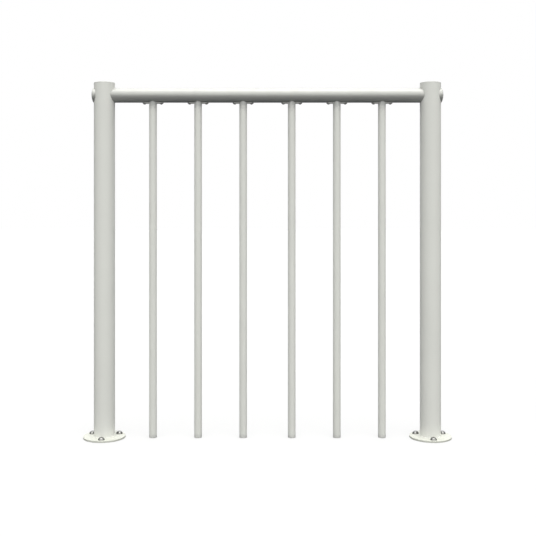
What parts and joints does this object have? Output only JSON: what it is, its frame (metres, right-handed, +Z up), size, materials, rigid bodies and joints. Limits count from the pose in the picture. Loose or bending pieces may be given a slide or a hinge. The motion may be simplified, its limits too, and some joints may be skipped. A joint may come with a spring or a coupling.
{
  "type": "landing railing",
  "caption": "One bay of landing railing: round posts on screwed-down flanges, a round top rail through both, and round balusters hung from it on screwed straps.",
  "frame": {"origin": "centre of the left base flange's underside, at floor level", "axes": "+X along the top rail from the left post to the right post, +Y to the back, +Z up"},
  "size_m": [1.06, 0.12, 1.022],
  "materials": {
    "coated_tube": "satin pale warm grey powder coat",
    "handrail": "semi-gloss warm grey powder coat",
    "base_plate": "satin pale warm grey powder coat",
    "stainless_steel": "satin stainless steel"
  },
  "bodies": {
    "root": {"left_base_flange": "base_plate", "left_post": "coated_tube", "left_post_cap": "coated_tube", "left_rail_end_cap": "handrail", "left_floor_screw_front": "stainless_steel", "left_floor_screw_back_right": "stainless_steel", "left_floor_screw_back_left": "stainless_steel", "right_base_flange": "base_plate", "right_post": "coated_tube", "right_post_cap": "coated_tube", "right_rail_end_cap": "handrail", "right_floor_screw_front": "stainless_steel", "right_floor_screw_back_right": "stainless_steel", "right_floor_screw_back_left": "stainless_steel", "top_rail": "handrail", "baluster_1": "coated_tube", "strap_1": "stainless_steel", "strap_screw_1_left": "stainless_steel", "strap_screw_1_right": "stainless_steel", "baluster_2": "coated_tube", "strap_2": "stainless_steel", "strap_screw_2_left": "stainless_steel", "strap_screw_2_right": "stainless_steel", "baluster_3": "coated_tube", "strap_3": "stainless_steel", "strap_screw_3_left": "stainless_steel", "strap_screw_3_right": "stainless_steel", "baluster_4": "coated_tube", "strap_4": "stainless_steel", "strap_screw_4_left": "stainless_steel", "strap_screw_4_right": "stainless_steel", "baluster_5": "coated_tube", "strap_5": "stainless_steel", "strap_screw_5_left": "stainless_steel", "strap_screw_5_right": "stainless_steel", "baluster_6": "coated_tube", "strap_6": "stainless_steel", "strap_screw_6_left": "stainless_steel", "strap_screw_6_right": "stainless_steel"}
  },
  "joints": []
}
